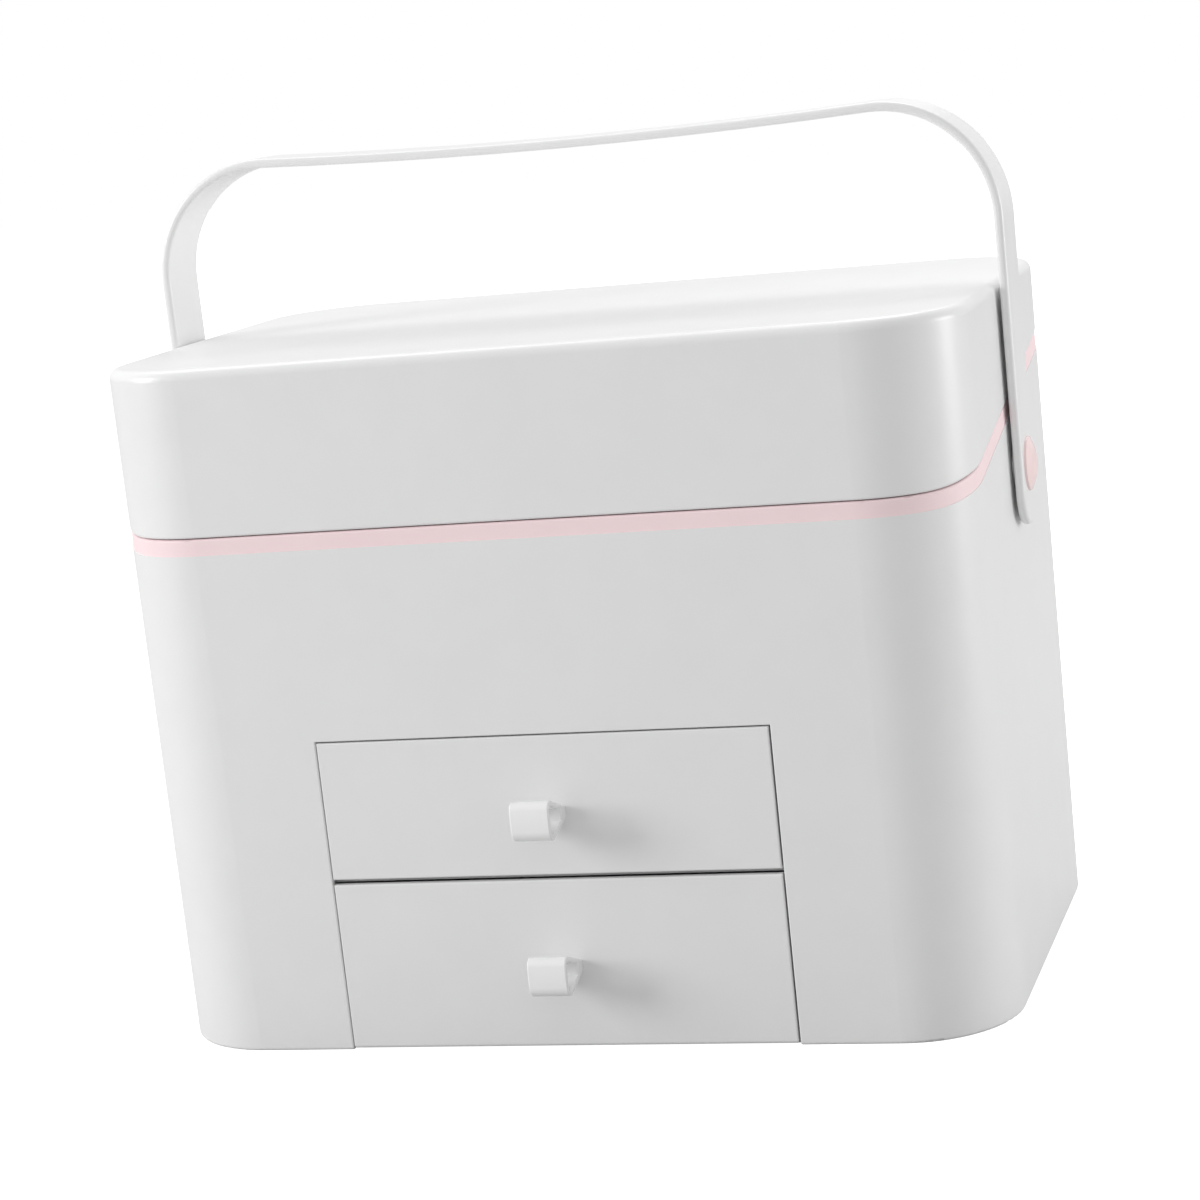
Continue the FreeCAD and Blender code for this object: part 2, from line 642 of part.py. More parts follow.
def hinge_bracket_right():
    """A bracket on the rear wall: a plate, and an arm that stands up into the lid."""
    half = BRACKET_WIDTH / 2
    plate_rear = INNER_REAR_Y - PAD_DEPTH
    plate_front = plate_rear - BRACKET_THICKNESS
    plate = block(
        HINGE_X - half, HINGE_X + half, plate_front, plate_rear, BRACKET_BOTTOM, BRACKET_TOP
    )
    x0 = HINGE_X - KNUCKLE_WIDTH / 2
    x1 = HINGE_X + KNUCKLE_WIDTH / 2
    foot_bottom = BRACKET_TOP - ARM_FOOT
    side = [
        (HINGE_Y - ARM_FRONT, BRACKET_TOP),
        (HINGE_Y - KNUCKLE_RADIUS, HINGE_Z),
        (HINGE_Y, HINGE_Z),
        (HINGE_Y + ARM_REAR, BRACKET_TOP),
        (plate_front + 1, BRACKET_TOP),
        (plate_front + 1, foot_bottom),
        (HINGE_Y - ARM_FRONT + ARM_FOOT, foot_bottom),
    ]
    arm = profile_prism(side).common(block(x0, x1, -FAR, FAR, 0, FAR))
    knuckle = hinge_rod(KNUCKLE_RADIUS, x0, x1)
    bracket = joined([plate, arm, knuckle])
    holes = [hinge_rod(HINGE_PIN_RADIUS, x0 - 1, x1 + 1)]
    for x, z in bracket_screw_places():
        holes.append(rod(SCREW_HOLE_RADIUS, point(x, HINGE_Y, z), point(x, REAR_Y, z)))
    return bracket.cut(Part.makeCompound(holes))


def hinge_pins():
    """Two steel pins, fast in the brackets and free in the lid's lugs."""
    half = KNUCKLE_WIDTH / 2 + KNUCKLE_END_GAP + LUG_WIDTH - 0.5
    return mirrored_pair(hinge_rod(HINGE_PIN_RADIUS, HINGE_X - half, HINGE_X + half))


def hinge_screws():
    """The four screws of the hinge brackets."""
    seat_y = INNER_REAR_Y - PAD_DEPTH - BRACKET_THICKNESS
    screws = []
    for side in (-1, 1):
        for x, z in bracket_screw_places():
            screws.append(screw(point(side * x, seat_y, z), Y_AXIS, HINGE_SCREW_LENGTH))
    return Part.makeCompound(screws)


# ---- handle -------------------------------------------------------------------


def strap_outline(offset):
    """Half of the strap's front view, from its round end to the middle of the grip.

    offset is the distance outwards from the strap's inner face. Returns the edges
    of the line and its two end points.
    """
    radius = GRIP_CORNER_RADIUS + offset
    side_x = STRAP_INNER_X + offset
    corner_x = STRAP_INNER_X - GRIP_CORNER_RADIUS
    rise = GRIP_MIDDLE_Z - GRIP_CORNER_Z
    inner = GRIP_CORNER_RADIUS
    dip_radius = (corner_x**2 + rise**2 - inner**2) / (2 * (inner - rise))
    dip_z = GRIP_MIDDLE_Z + dip_radius
    span = math.hypot(corner_x, dip_z - GRIP_CORNER_Z)
    lean = math.asin(corner_x / span)
    meet = point(
        corner_x - radius * math.sin(lean), 0, GRIP_CORNER_Z + radius * math.cos(lean)
    )
    half_turn = math.radians(45) - lean / 2
    middle = point(
        corner_x + radius * math.cos(half_turn), 0, GRIP_CORNER_Z + radius * math.sin(half_turn)
    )
    low = point(side_x, 0, STRAP_END_Z + STRAP_WIDTH / 2)
    bend = point(side_x, 0, GRIP_CORNER_Z)
    dip_here = dip_radius - offset
    half_lean = lean / 2
    dip_middle = point(dip_here * math.sin(half_lean), 0, dip_z - dip_here * math.cos(half_lean))
    top = point(0, 0, GRIP_MIDDLE_Z + offset)
    edges = [
        Part.LineSegment(low, bend).toShape(),
        Part.Arc(bend, middle, meet).toShape(),
        Part.Arc(meet, dip_middle, top).toShape(),
    ]
    return edges, low, top


def handle_bail():
    """The handle: one flat strap bent to an arch, with round ends and a bore at each pivot."""
    inner, inner_low, inner_top = strap_outline(0)
    outer, outer_low, outer_top = strap_outline(STRAP_THICKNESS)
    low_end = Part.LineSegment(inner_low, outer_low).toShape()
    top_end = Part.LineSegment(inner_top, outer_top).toShape()
    wire = Part.Wire(inner + [top_end] + outer[::-1] + [low_end])
    half_width = STRAP_WIDTH / 2
    half = Part.Face(wire).extrude(point(0, STRAP_WIDTH, 0))
    half.translate(point(0, -half_width, 0))
    end_z = STRAP_END_Z + half_width
    round_end = rod(half_width, point(STRAP_INNER_X, 0, end_z), point(STRAP_OUTER_X, 0, end_z))
    bail = joined([half, left_of(half), round_end, left_of(round_end)])
    long_edges = edges_where(
        bail,
        lambda p: abs(abs(p.y) - half_width) < 0.01 or p.z < end_z - half_width / 2,
    )
    bail = bail.makeFillet(STRAP_EDGE_RADIUS, long_edges)
    bore = rod(HUB_SPIGOT_RADIUS + RUNNING_CLEARANCE, point(-FAR, 0, PIVOT_Z), point(FAR, 0, PIVOT_Z))
    return bail.cut(bore)


def pivot_hubs():
    """Two stepped bushes: a journal in the side wall, a collar and a spigot for the strap."""
    collar_in = HALF_WIDTH + HUB_END_PLAY
    collar_out = STRAP_INNER_X - SEAT_GAP
    spigot_out = STRAP_OUTER_X + HUB_END_PLAY
    journal_out = collar_in + WEB_OVERLAP
    hub = joined(
        [
            rod(HUB_RADIUS, point(JOURNAL_END_X, 0, PIVOT_Z), point(journal_out, 0, PIVOT_Z)),
            rod(HUB_COLLAR_RADIUS, point(collar_in, 0, PIVOT_Z), point(collar_out, 0, PIVOT_Z)),
            rod(HUB_SPIGOT_RADIUS, point(collar_in, 0, PIVOT_Z), point(spigot_out, 0, PIVOT_Z)),
        ]
    )
    start = point(JOURNAL_END_X - 1, 0, PIVOT_Z)
    return mirrored_pair(hub.cut(rod(SCREW_HOLE_RADIUS, start, point(STRAP_INNER_X, 0, PIVOT_Z))))


def pivot_washers():
    """The washers that hold the bushes in the side walls from inside."""
    inner_x = JOURNAL_END_X - WASHER_THICKNESS
    washer = rod(WASHER_RADIUS, point(inner_x, 0, PIVOT_Z), point(JOURNAL_END_X, 0, PIVOT_Z))
    start = point(inner_x - 1, 0, PIVOT_Z)
    hole = rod(SCREW_HOLE_RADIUS, start, point(JOURNAL_END_X + 1, 0, PIVOT_Z))
    return mirrored_pair(washer.cut(hole))


def pivot_screws():
    """The screws that hold the washers to the bushes."""
    seat = point(JOURNAL_END_X - WASHER_THICKNESS, 0, PIVOT_Z)
    return mirrored_pair(screw(seat, X_AXIS, PIVOT_SCREW_LENGTH))


def pivot_caps():
    """Two domed buttons over the strap's eyes, each with a short plug."""
    top_x = STRAP_OUTER_X + CAP_HEIGHT
    dome = CAP_HEIGHT - CAP_RIM_HEIGHT
    sphere_radius = (CAP_RADIUS**2 + dome**2) / (2 * dome)
    ball = Part.makeSphere(sphere_radius, point(top_x - sphere_radius, 0, PIVOT_Z))
    disc = rod(CAP_RADIUS, point(STRAP_OUTER_X, 0, PIVOT_Z), point(top_x, 0, PIVOT_Z))
    cap = disc.common(ball)
    recess_top = point(STRAP_OUTER_X + CAP_RECESS_DEPTH, 0, PIVOT_Z)
    recess = rod(HUB_SPIGOT_RADIUS + SEAT_GAP, point(STRAP_INNER_X, 0, PIVOT_Z), recess_top)
    return mirrored_pair(cap.cut(recess))


# ---- drawers ------------------------------------------------------------------


def drawer_front(bottom, top, pull_z):
    """A flat drawer front, flush with the case, with three screw holes."""
    back_y = FRONT_Y + FRONT_THICKNESS
    front = block(FRONT_LEFT_X, FRONT_RIGHT_X, FRONT_Y, back_y, bottom, top)
    if bottom < BOTTOM_EDGE_RADIUS:
        lower = edges_where(front, lambda p: p.z < bottom + 0.01 and p.y < FRONT_Y + 0.01)
        front = front.makeFillet(BOTTOM_EDGE_RADIUS, lower)
    rim = edges_where(front, lambda p: p.y < FRONT_Y + 0.01)
    front = front.makeFillet(MOUTH_EDGE_RADIUS, rim)
    behind_y = back_y + 1
    holes = [rod(SCREW_HOLE_RADIUS, point(0, FRONT_Y - 1, pull_z), point(0, behind_y, pull_z))]
    for x in FRONT_SCREW_X:
        start = point(x, FRONT_Y + FRONT_SKIN, pull_z)
        holes.append(rod(SCREW_HOLE_RADIUS, start, point(x, behind_y, pull_z)))
    return front.cut(Part.makeCompound(holes))


def drawer_tray(floor_top_of_support, top, pull_z):
    """A drawer box: an open tray on two runners, with two stop tabs at its back."""
    bottom = floor_top_of_support + SLIDE_GAP + RUNNER_HEIGHT
    front_y = FRONT_Y + FRONT_THICKNESS
    tray = block(-TRAY_HALF_WIDTH, TRAY_HALF_WIDTH, front_y, TRAY_REAR_Y, bottom, top)
    uprights = edges_where(
        tray, lambda p: abs(p.y - TRAY_REAR_Y) < 0.01 and abs(abs(p.x) - TRAY_HALF_WIDTH) < 0.01
    )
    tray = tray.makeFillet(TRAY_CORNER_RADIUS, uprights)
    inside = block(
        -TRAY_HALF_WIDTH + TRAY_WALL,
        TRAY_HALF_WIDTH - TRAY_WALL,
        front_y + TRAY_WALL,
        TRAY_REAR_Y - TRAY_WALL,
        bottom + TRAY_WALL,
        top + 1,
    )
    corners = [e for e in inside.Edges if abs(e.tangentAt(e.FirstParameter).z) > 0.99]
    tray = tray.cut(inside.makeFillet(TRAY_CORNER_RADIUS - TRAY_WALL, corners))
    pieces = [tray]
    for side in (-1, 1):
        x = side * RUNNER_X
        half = RUNNER_WIDTH / 2
        low = floor_top_of_support + SLIDE_GAP
        high = bottom + WEB_OVERLAP
        pieces.append(block(x - half, x + half, front_y, TRAY_REAR_Y - RUNNER_SETBACK, low, high))
        x = side * STOP_TAB_X
        half = STOP_TAB_WIDTH / 2
        low = floor_top_of_support - STOP_TAB_DEPTH
        tab_front = TRAY_REAR_Y - STOP_TAB_LENGTH
        pieces.append(block(x - half, x + half, tab_front, TRAY_REAR_Y, low, high))
    tray = joined(pieces)
    holes = [
        rod(SCREW_HOLE_RADIUS, point(x, FRONT_Y, pull_z), point(x, front_y + TRAY_WALL + 1, pull_z))
        for x in (0.0,) + FRONT_SCREW_X
    ]
    return tray.cut(Part.makeCompound(holes))


def pull_wedge(pull_z):
    """The solid wedge of a pull: a bulged tip face with two rounded noses."""
    tip_y = FRONT_Y - PULL_REACH
    edge_y = tip_y + PULL_BULGE
    x0 = -PULL_WIDTH / 2
    tip_z = pull_z + PULL_TIP_RISE
    half_root = PULL_ROOT_HEIGHT / 2
    half_tip = PULL_TIP_HEIGHT / 2
    root_top = point(x0, FRONT_Y, pull_z + half_root)
    root_low = point(x0, FRONT_Y, pull_z - half_root)
    tip_top = point(x0, edge_y, tip_z + half_tip)
    tip_low = point(x0, edge_y, tip_z - half_tip)
    wire = Part.Wire(
        [
            Part.LineSegment(root_top, tip_top).toShape(),
            Part.Arc(tip_top, point(x0, tip_y, tip_z), tip_low).toShape(),
            Part.LineSegment(tip_low, root_low).toShape(),
            Part.LineSegment(root_low, root_top).toShape(),
        ]
    )
    wedge = Part.Face(wire).extrude(point(PULL_WIDTH, 0, 0))
    noses = edges_where(wedge, lambda p: abs(p.x) < 0.01 and abs(p.y - edge_y) < 0.01)
    upper = [e for e in noses if e.CenterOfMass.z > tip_z]
    lower = [e for e in noses if e.CenterOfMass.z < tip_z]
    return wedge.makeFillet(PULL_UPPER_RADIUS, upper).makeFillet(PULL_LOWER_RADIUS, lower)


def drawer_pull(pull_z):
    """A wedge-shaped loop of even strap, whose solid root sits on the drawer front."""
    wedge = pull_wedge(pull_z)
    side = [f for f in wedge.Faces if abs(f.CenterOfMass.x + PULL_WIDTH / 2) < 0.01][0]
    hollow = Part.Face(side.OuterWire.makeOffset2D(-PULL_STRAP))
    hollow = hollow.extrude(point(PULL_WIDTH, 0, 0))
    loop_room = block(-FAR, FAR, -FAR, FRONT_Y - PULL_ROOT_LENGTH, 0, FAR)
    loop = wedge.cut(hollow.common(loop_room))
    rims = edges_where(
        loop, lambda p: abs(abs(p.x) - PULL_WIDTH / 2) < 0.01 and p.y < FRONT_Y - 0.01
    )
    loop = loop.makeFillet(PULL_SIDE_RADIUS, rims)
    pilot_end = point(0, FRONT_Y - PULL_PILOT_DEPTH, pull_z)
    pilot = rod(SCREW_HOLE_RADIUS, point(0, FRONT_Y + 1, pull_z), pilot_end)
    return loop.cut(pilot)


def drawer_screws(pull_z):
    """The screws of one drawer: one for the pull and two for the front."""
    seat_y = FRONT_Y + FRONT_THICKNESS + TRAY_WALL
    towards_front = point(0, -1, 0)
    pull_screw = screw(point(0, seat_y, pull_z), towards_front, PULL_SCREW_LENGTH)
    front_screws = []
    for x in FRONT_SCREW_X:
        front_screws.append(screw(point(x, seat_y, pull_z), towards_front, FRONT_SCREW_LENGTH))
    return pull_screw, Part.makeCompound(front_screws)


# ---- all sub-parts ------------------------------------------------------------


def main():
    """Builds every sub-part and writes it under its own name."""
    os.makedirs("parts", exist_ok=True)
    export(body_shell(), "body_shell")
    export(base_plate(), "base_plate")
    export(foot_pads(), "foot_pads")
    export(base_screws(), "base_screws")
    export(bay_cheek_right(), "bay_cheek_right")
    export(left_of(bay_cheek_right()), "bay_cheek_left")
    export(middle_shelf(), "middle_shelf")
    export(bay_back_panel(), "bay_back_panel")
    export(upper_deck(), "upper_deck")
    export(deck_divider(), "deck_divider")
    export(well_dividers(), "well_dividers")
    export(trim_ring(), "trim_ring")
    export(lid_shell(), "lid_shell")
    export(lid_liner(), "lid_liner")
    export(hinge_bracket_right(), "hinge_bracket_right")
    export(left_of(hinge_bracket_right()), "hinge_bracket_left")
    export(hinge_pins(), "hinge_pins")
    export(hinge_screws(), "hinge_screws")
    export(handle_bail(), "handle_bail")
    export(pivot_hubs(), "pivot_hubs")
    export(pivot_washers(), "pivot_washers")
    export(pivot_screws(), "pivot_screws")
    export(pivot_caps(), "pivot_caps")
    drawers = {
        "upper": (UPPER_FRONT_BOTTOM, UPPER_FRONT_TOP, SHELF_TOP, UPPER_TRAY_TOP, UPPER_PULL_Z),
        "lower": (LOWER_FRONT_BOTTOM, LOWER_FRONT_TOP, BASE_TOP, LOWER_TRAY_TOP, LOWER_PULL_Z),
    }
    for name, (bottom, top, support, tray_top, pull_z) in drawers.items():
        pull_screw, front_screws = drawer_screws(pull_z)
        export(drawer_front(bottom, top, pull_z), name + "_drawer_front")
        export(drawer_tray(support, tray_top, pull_z), name + "_drawer_tray")
        export(drawer_pull(pull_z), name + "_drawer_pull")
        export(pull_screw, name + "_pull_screw")
        export(front_screws, name + "_front_screws")


main()
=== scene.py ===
"""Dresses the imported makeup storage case: finishes, fine pieces, camera and studio."""

import json
import logging
import math
from dataclasses import dataclass, field
from enum import Enum

import bmesh
import bpy
from mathutils import Matrix, Vector


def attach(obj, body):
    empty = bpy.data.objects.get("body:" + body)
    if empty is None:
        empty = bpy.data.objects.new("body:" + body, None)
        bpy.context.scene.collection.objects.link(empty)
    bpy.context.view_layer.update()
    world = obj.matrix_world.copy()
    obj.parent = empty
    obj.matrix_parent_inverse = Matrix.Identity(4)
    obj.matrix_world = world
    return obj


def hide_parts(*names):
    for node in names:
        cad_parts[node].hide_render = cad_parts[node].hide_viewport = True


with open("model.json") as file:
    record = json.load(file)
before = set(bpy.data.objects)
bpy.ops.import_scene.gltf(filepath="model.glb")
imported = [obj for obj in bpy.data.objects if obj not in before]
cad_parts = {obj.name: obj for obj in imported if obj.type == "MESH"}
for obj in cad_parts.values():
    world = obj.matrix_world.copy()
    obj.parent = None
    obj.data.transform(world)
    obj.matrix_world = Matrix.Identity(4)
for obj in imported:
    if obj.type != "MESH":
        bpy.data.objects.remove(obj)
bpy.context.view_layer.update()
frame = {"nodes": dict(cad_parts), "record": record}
SLOTS = {part["node"]: part["material_slot"] for part in frame["record"]["subparts"]}
BODIES = {
    node: body for body, nodes in frame["record"]["behaviour"]["bodies"].items() for node in nodes
}
MM = 0.001
WELD_MM = 0.001
CREASE_DEGREES = 38
WHITE = (1.0, 1.0, 1.0, 1.0)
PULLS = ("upper_drawer_pull", "lower_drawer_pull")
LOG = logging.getLogger("makeup_case")


# ---- small helpers ------------------------------------------------------------


def linear(code: str) -> tuple[float, float, float, float]:
    """Turns an sRGB hex colour into linear RGBA.

    Args:
        code: Six hex digits, with or without a leading #.

    Returns:
        The linear colour with an alpha of 1.
    """
    digits = code.lstrip("#")
    channels = [int(digits[i : i + 2], 16) / 255 for i in (0, 2, 4)]
    flat = [c / 12.92 if c <= 0.04045 else ((c + 0.055) / 1.055) ** 2.4 for c in channels]
    return (flat[0], flat[1], flat[2], 1.0)


def blank_material(name: str) -> bpy.types.Material:
    """Makes a material with an empty node tree.

    Args:
        name: The material's name.

    Returns:
        The new material.
    """
    material = bpy.data.materials.new(name)
    material.use_nodes = True
    material.node_tree.nodes.clear()
    return material


def add_node(
    tree: bpy.types.NodeTree,
    kind: str,
    settings: dict[str, object] | None = None,
    links: dict[str, bpy.types.NodeSocket] | None = None,
) -> bpy.types.Node:
    """Adds one shader node, sets it and links its inputs.

    Args:
        tree: The material's or world's node tree.
        kind: The node's type name.
        settings: Values by input name, or by attribute name when there is no such input.
        links: Output sockets by the name of the input that they feed.

    Returns:
        The new node.
    """
    node = tree.nodes.new(kind)
    for name, value in (settings or {}).items():
        if name in node.inputs:
            node.inputs[name].default_value = value
        else:
            setattr(node, name, value)
    for name, socket in (links or {}).items():
        tree.links.new(socket, node.inputs[name])
    return node


# ---- finishes -----------------------------------------------------------------


class Gloss(Enum):
    """Roughness that a moulding tool's polish leaves on a plastic."""

    SATIN = 0.34
    MATT = 0.52
    BRIGHT = 0.22


@dataclass(frozen=True)
class Moulding:
    """An injection-moulded plastic: even colour, a faint orange peel and a fine tool texture."""

    name: str
    colour: str
    shade: str
    gloss: Gloss
    ior: float = 1.53
    cloud_mm: float = 18.0
    peel_mm: float = 7.0
    grain_mm: float = 0.55
    peel_depth_mm: float = 0.010
    grain_depth_mm: float = 0.003
    smoother: float = 0.03
    rougher: float = 0.04
    specular: float = 0.5

    def material(self) -> bpy.types.Material:
        """Builds the finish.

        Returns:
            The material, patterned in Object coordinates.
        """
        material = blank_material(self.name)
        tree = material.node_tree
        place = add_node(tree, "ShaderNodeTexCoord").outputs["Object"]
        cloud = add_node(
            tree, "ShaderNodeTexNoise",
            {"Scale": 1 / (self.cloud_mm * MM), "Detail": 3.0, "Roughness": 0.5},
            {"Vector": place},
        )
        tint = add_node(
            tree, "ShaderNodeMix",
            {"data_type": "RGBA"}, {"Factor": cloud.outputs["Fac"]},
        )
        colours = [s for s in tint.inputs if s.type == "RGBA"]
        colours[0].default_value = linear(self.shade)
        colours[1].default_value = linear(self.colour)
        mixed = [s for s in tint.outputs if s.type == "RGBA"][0]
        peel = add_node(
            tree, "ShaderNodeTexNoise",
            {"Scale": 1 / (self.peel_mm * MM), "Detail": 1.0, "Roughness": 0.4},
            {"Vector": place},
        )
        grain = add_node(
            tree, "ShaderNodeTexNoise",
            {"Scale": 1 / (self.grain_mm * MM), "Detail": 2.0, "Roughness": 0.6},
            {"Vector": place},
        )
        sheen = add_node(
            tree, "ShaderNodeMapRange",
            {
                "To Min": self.gloss.value - self.smoother,
                "To Max": self.gloss.value + self.rougher,
            },
            {"Value": cloud.outputs["Fac"]},
        )
        wave = add_node(
            tree, "ShaderNodeBump",
            {"Strength": 1.0, "Distance": self.peel_depth_mm * MM},
            {"Height": peel.outputs["Fac"]},
        )
        relief = add_node(
            tree, "ShaderNodeBump",
            {"Strength": 1.0, "Distance": self.grain_depth_mm * MM},
            {"Height": grain.outputs["Fac"], "Normal": wave.outputs["Normal"]},
        )
        shader = add_node(
            tree, "ShaderNodeBsdfPrincipled",
            {"IOR": self.ior, "Specular IOR Level": self.specular},
            {
                "Base Color": mixed,
                "Roughness": sheen.outputs["Result"],
                "Normal": relief.outputs["Normal"],
            },
        )
        add_node(
            tree, "ShaderNodeOutputMaterial", links={"Surface": shader.outputs["BSDF"]}
        )
        return material


@dataclass(frozen=True)
class PlatedSteel:
    """Zinc-plated steel: a grey metal with fine drawn lines along X."""

    name: str = "zinc_plated_steel"
    colour: str = "C4C5C8"
    shade: str = "9FA1A6"
    roughness: float = 0.3
    line_mm: float = 0.25
    line_depth_mm: float = 0.004
    stretch: float = 0.1

    def material(self) -> bpy.types.Material:
        """Builds the finish.

        Returns:
            The material, with its lines in Object coordinates.
        """
        material = blank_material(self.name)
        tree = material.node_tree
        place = add_node(tree, "ShaderNodeTexCoord").outputs["Object"]
        drawn = add_node(
            tree, "ShaderNodeMapping", {"Scale": (self.stretch, 1.0, 1.0)}, {"Vector": place}
        )
        lines = add_node(
            tree, "ShaderNodeTexNoise",
            {"Scale": 1 / (self.line_mm * MM), "Detail": 2.0},
            {"Vector": drawn.outputs["Vector"]},
        )
        tint = add_node(
            tree, "ShaderNodeValToRGB", links={"Fac": lines.outputs["Fac"]}
        )
        tint.color_ramp.elements[0].color = linear(self.shade)
        tint.color_ramp.elements[1].color = linear(self.colour)
        relief = add_node(
            tree, "ShaderNodeBump",
            {"Strength": 1.0, "Distance": self.line_depth_mm * MM},
            {"Height": lines.outputs["Fac"]},
        )
        shader = add_node(
            tree, "ShaderNodeBsdfPrincipled",
            {"Metallic": 1.0, "Roughness": self.roughness},
            {"Base Color": tint.outputs["Color"], "Normal": relief.outputs["Normal"]},
        )
        add_node(
            tree, "ShaderNodeOutputMaterial", links={"Surface": shader.outputs["BSDF"]}
        )
        return material


@dataclass
class Palette:
    """Every finish of the case, made once.

    The order of the fields is the order in which the materials are made.
    """

    # Acrylonitrile butadiene styrene from a satin-blasted tool: soft, wide highlights.
    shell: bpy.types.Material = field(
        default_factory=Moulding(
            "satin_abs_white", "EDEDED", "E9E9E9", Gloss.SATIN
        ).material
    )
    # The same plastic from a polished tool, for tight highlights. Its lighter colour is painted
    # light: it stands in for the extra light that the upturned face of each pull catches.
    pull: bpy.types.Material = field(
        default_factory=Moulding(
            "polished_abs_painted_light_white", "F8F8F8", "F5F5F5", Gloss.BRIGHT
        ).material
    )
    # Polypropylene from a textured tool: flat and a little darker than the outside.
    inner: bpy.types.Material = field(
        default_factory=Moulding(
            "matt_polypropylene_white", "EAEAEA", "E4E4E4", Gloss.MATT, 1.49
        ).material
    )
    # A soft elastomer for the band: pale pink with hardly any highlight.
    trim: bpy.types.Material = field(
        default_factory=Moulding(
            "soft_tpe_pink", "FBE4E6", "F8DFE2", Gloss.MATT, 1.5
        ).material
    )
    # Polished plastic for the buttons: warm pink with a clear glint on the dome.
    cap: bpy.types.Material = field(
        default_factory=Moulding(
            "gloss_abs_pink", "F9E2E1", "F6DCDC", Gloss.BRIGHT
        ).material
    )
    # Moulded silicone for the feet: grey and dull.
    pad: bpy.types.Material = field(
        default_factory=Moulding(
            "moulded_silicone_grey", "CFCFD1", "C6C6C9", Gloss.MATT, 1.43
        ).material
    )
    # Plated screws and pins: cool grey metal with fine lines.
    steel: bpy.types.Material = field(default_factory=PlatedSteel().material)


# ---- camera and studio ---------------------------------------------------------


@dataclass
class Camera:
    """The viewpoint: right of the front, a little above, and rolled. Its angles are radians."""

    place_mm: tuple[float, float, float] = (310.3, -1006.1, 325.4)
    yaw: float = 0.2668
    pitch: float = 0.2004
    roll: float = 0.1005
    lens_mm: float = 90.87
    shift: tuple[float, float] = (-0.0966, 0.0355)
    sensor_mm: float = 36.0
    far_end: float = 50.0

    def build(self) -> bpy.types.Object:
        """Makes the camera and gives it to the scene.

        Returns:
            The camera object.
        """
        forward = Vector((
            -math.sin(self.yaw) * math.cos(self.pitch),
            math.cos(self.yaw) * math.cos(self.pitch),
            -math.sin(self.pitch),
        ))
        level = Vector((math.cos(self.yaw), math.sin(self.yaw), 0))
        down = -level.cross(forward)
        right = math.cos(self.roll) * level + math.sin(self.roll) * down
        below = -math.sin(self.roll) * level + math.cos(self.roll) * down
        turn = Matrix((right, -below, -forward)).transposed().to_4x4()
        data = bpy.data.cameras.new("camera")
        data.lens = self.lens_mm
        data.sensor_width = self.sensor_mm
        data.shift_x, data.shift_y = self.shift
        data.clip_end = self.far_end
        camera = bpy.data.objects.new("camera", data)
        camera.matrix_world = Matrix.Translation(Vector(self.place_mm) * MM) @ turn
        bpy.context.scene.collection.objects.link(camera)
        bpy.context.scene.camera = camera
        return camera


@dataclass(frozen=True)
class Softbox:
    """One round soft lamp, aimed at the middle of the case: degrees, metres and watts."""

    name: str
    bearing: float
    height: float
    diameter: float
    power: float
    reach: float = 2.2
    aim: tuple[float, float, float] = (0.0, 0.0, 0.13)

    def build(self) -> bpy.types.Object:
        """Makes the lamp; its bearing runs from the front to the right, in degrees.

        Returns:
            The light object.
        """
        turn, lift = math.radians(self.bearing), math.radians(self.height)
        out = Vector((
            math.sin(turn) * math.cos(lift),
            -math.cos(turn) * math.cos(lift),
            math.sin(lift),
        ))
        data = bpy.data.lights.new(self.name, "AREA")
        data.shape = "DISK"
        data.size = self.diameter
        data.energy = self.power
        lamp = bpy.data.objects.new(self.name, data)
        facing = (-out).to_track_quat("-Z", "Y").to_matrix().to_4x4()
        lamp.matrix_world = Matrix.Translation(Vector(self.aim) + out * self.reach) @ facing
        bpy.context.scene.collection.objects.link(lamp)
        return lamp


